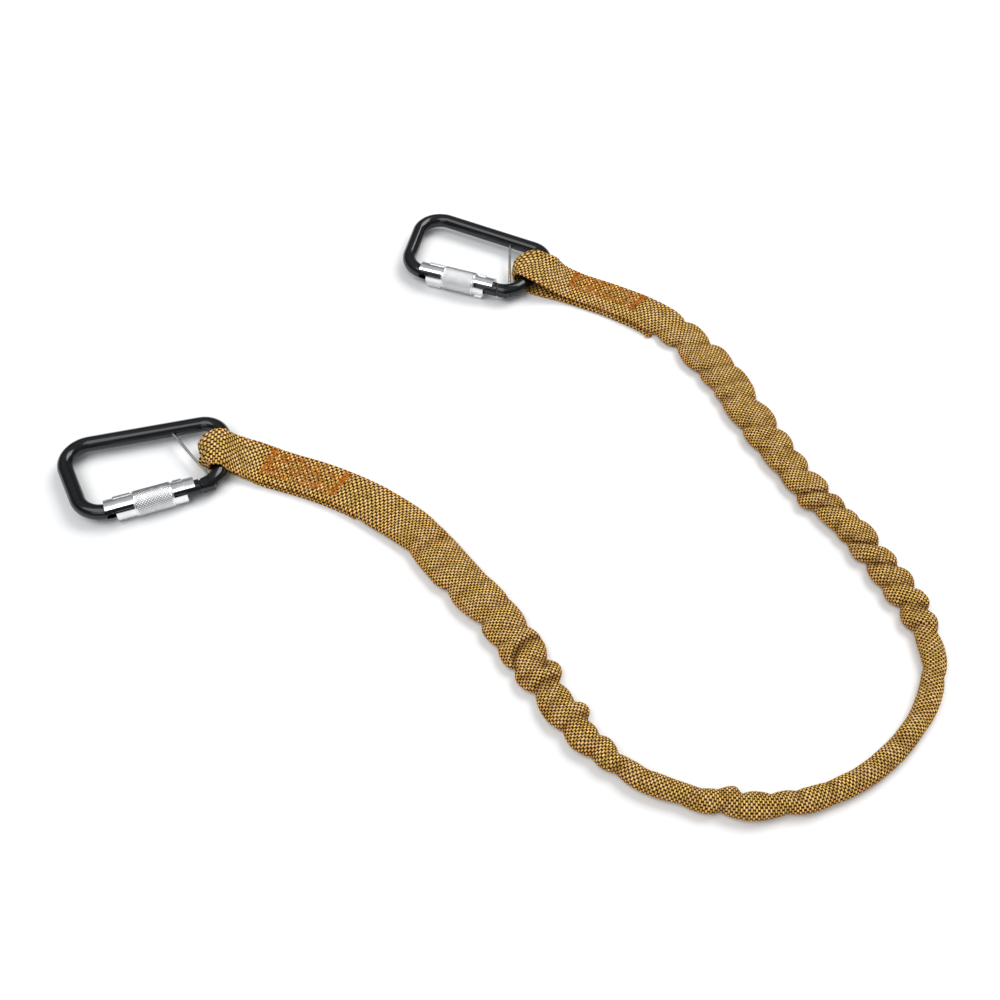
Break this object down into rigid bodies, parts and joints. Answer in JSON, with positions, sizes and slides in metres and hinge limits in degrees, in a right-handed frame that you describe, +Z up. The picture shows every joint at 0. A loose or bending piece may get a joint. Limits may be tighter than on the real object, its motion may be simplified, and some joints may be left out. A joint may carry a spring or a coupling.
{
  "type": "elastic webbing tool lanyard",
  "caption": "Gathered tubular webbing strap over an elastic core, with a stitched eye at each end round the bar of an auto-locking black connector.",
  "frame": {"origin": "middle of the bounding box at the level of the surface that the lanyard lies on", "axes": "+Z up from that surface; +Y away from the viewer, from the bend of the strap towards its two ends; connector A is at -X and connector B at +Y"},
  "size_m": [0.5426, 0.4906, 0.0166],
  "materials": {
    "webbing": "coarse woven, matt",
    "elastic": "matt",
    "thread": "twisted thread, soft sheen",
    "black_coat": "gloss black",
    "polished_steel": "polished",
    "barrel_metal": "satin, knurled on the grip"
  },
  "bodies": {
    "strap": {"webbing": "webbing", "elastic_core": "elastic", "stitching_a": "thread", "stitching_b": "thread"},
    "connector_a": {"body_a": "black_coat", "hinge_rivet_a": "black_coat", "captive_pin_a": "polished_steel"},
    "gate_a": {"gate_a": "black_coat", "plunger_spring_a": "polished_steel", "sleeve_spring_a": "polished_steel"},
    "plunger_a": {"plunger_a": "polished_steel"},
    "collar_a": {"guide_collar_a": "polished_steel"},
    "sleeve_a": {"sleeve_a": "barrel_metal", "grip_a": "barrel_metal", "guide_keys_a": "barrel_metal"},
    "connector_b": {"body_b": "black_coat", "hinge_rivet_b": "black_coat", "captive_pin_b": "polished_steel"},
    "gate_b": {"gate_b": "black_coat", "plunger_spring_b": "polished_steel", "sleeve_spring_b": "polished_steel"},
    "plunger_b": {"plunger_b": "polished_steel"},
    "collar_b": {"guide_collar_b": "polished_steel"},
    "sleeve_b": {"sleeve_b": "barrel_metal", "grip_b": "barrel_metal", "guide_keys_b": "barrel_metal"}
  },
  "joints": [
    {"name": "swing_a", "type": "hinge", "parent": "strap", "child": "connector_a", "pos_m": [-0.16614, 0.00616, 0.0083], "axis": [-0.0475, 0.9989, 0], "range_deg": [-60, 90]},
    {"name": "gate_open_a", "type": "hinge", "parent": "connector_a", "child": "gate_a", "pos_m": [-0.16983, -0.02278, 0.0083], "axis": [0, 0, -1], "range_deg": [0, 20], "stiffness_Nm_per_rad": 0.3, "springref_deg": -17.19},
    {"name": "plunger_slide_a", "type": "slide", "parent": "gate_a", "child": "plunger_a", "axis": [-0.9379, -0.3469, 0], "range_m": [0, 0.0013], "deforming": ["plunger_spring_a"]},
    {"name": "sleeve_slide_a", "type": "slide", "parent": "gate_a", "child": "collar_a", "axis": [0.9379, 0.3469, 0], "range_m": [0, 0.003], "stiffness_N_per_m": 1000, "springref_m": -0.004, "deforming": ["sleeve_spring_a"]},
    {"name": "sleeve_twist_a", "type": "hinge", "parent": "collar_a", "child": "sleeve_a", "pos_m": [-0.20708, -0.03592, 0.0083], "axis": [0.9379, 0.3469, 0], "range_deg": [0, 90], "stiffness_Nm_per_rad": 0.05, "springref_deg": -28.65},
    {"name": "swing_b", "type": "hinge", "parent": "strap", "child": "connector_b", "pos_m": [0.0411, 0.17837, 0.0083], "axis": [0.6029, 0.7978, 0], "range_deg": [-60, 90]},
    {"name": "gate_open_b", "type": "hinge", "parent": "connector_b", "child": "gate_b", "pos_m": [0.01974, 0.1585, 0.0083], "axis": [0, 0, -1], "range_deg": [0, 20], "stiffness_Nm_per_rad": 0.3, "springref_deg": -17.19},
    {"name": "plunger_slide_b", "type": "slide", "parent": "gate_b", "child": "plunger_b", "axis": [-0.9426, 0.3338, 0], "range_m": [0, 0.0013], "deforming": ["plunger_spring_b"]},
    {"name": "sleeve_slide_b", "type": "slide", "parent": "gate_b", "child": "collar_b", "axis": [0.9426, -0.3338, 0], "range_m": [0, 0.003], "stiffness_N_per_m": 1000, "springref_m": -0.004, "deforming": ["sleeve_spring_b"]},
    {"name": "sleeve_twist_b", "type": "hinge", "parent": "collar_b", "child": "sleeve_b", "pos_m": [-0.01729, 0.17225, 0.0083], "axis": [0.9426, -0.3338, 0], "range_deg": [0, 90], "stiffness_Nm_per_rad": 0.05, "springref_deg": -28.65}
  ],
  "couplings": [
    {"joint": "plunger_slide_a", "follows": "gate_open_a", "m_per_rad": 0.0034},
    {"joint": "plunger_slide_b", "follows": "gate_open_b", "m_per_rad": 0.0034}
  ]
}
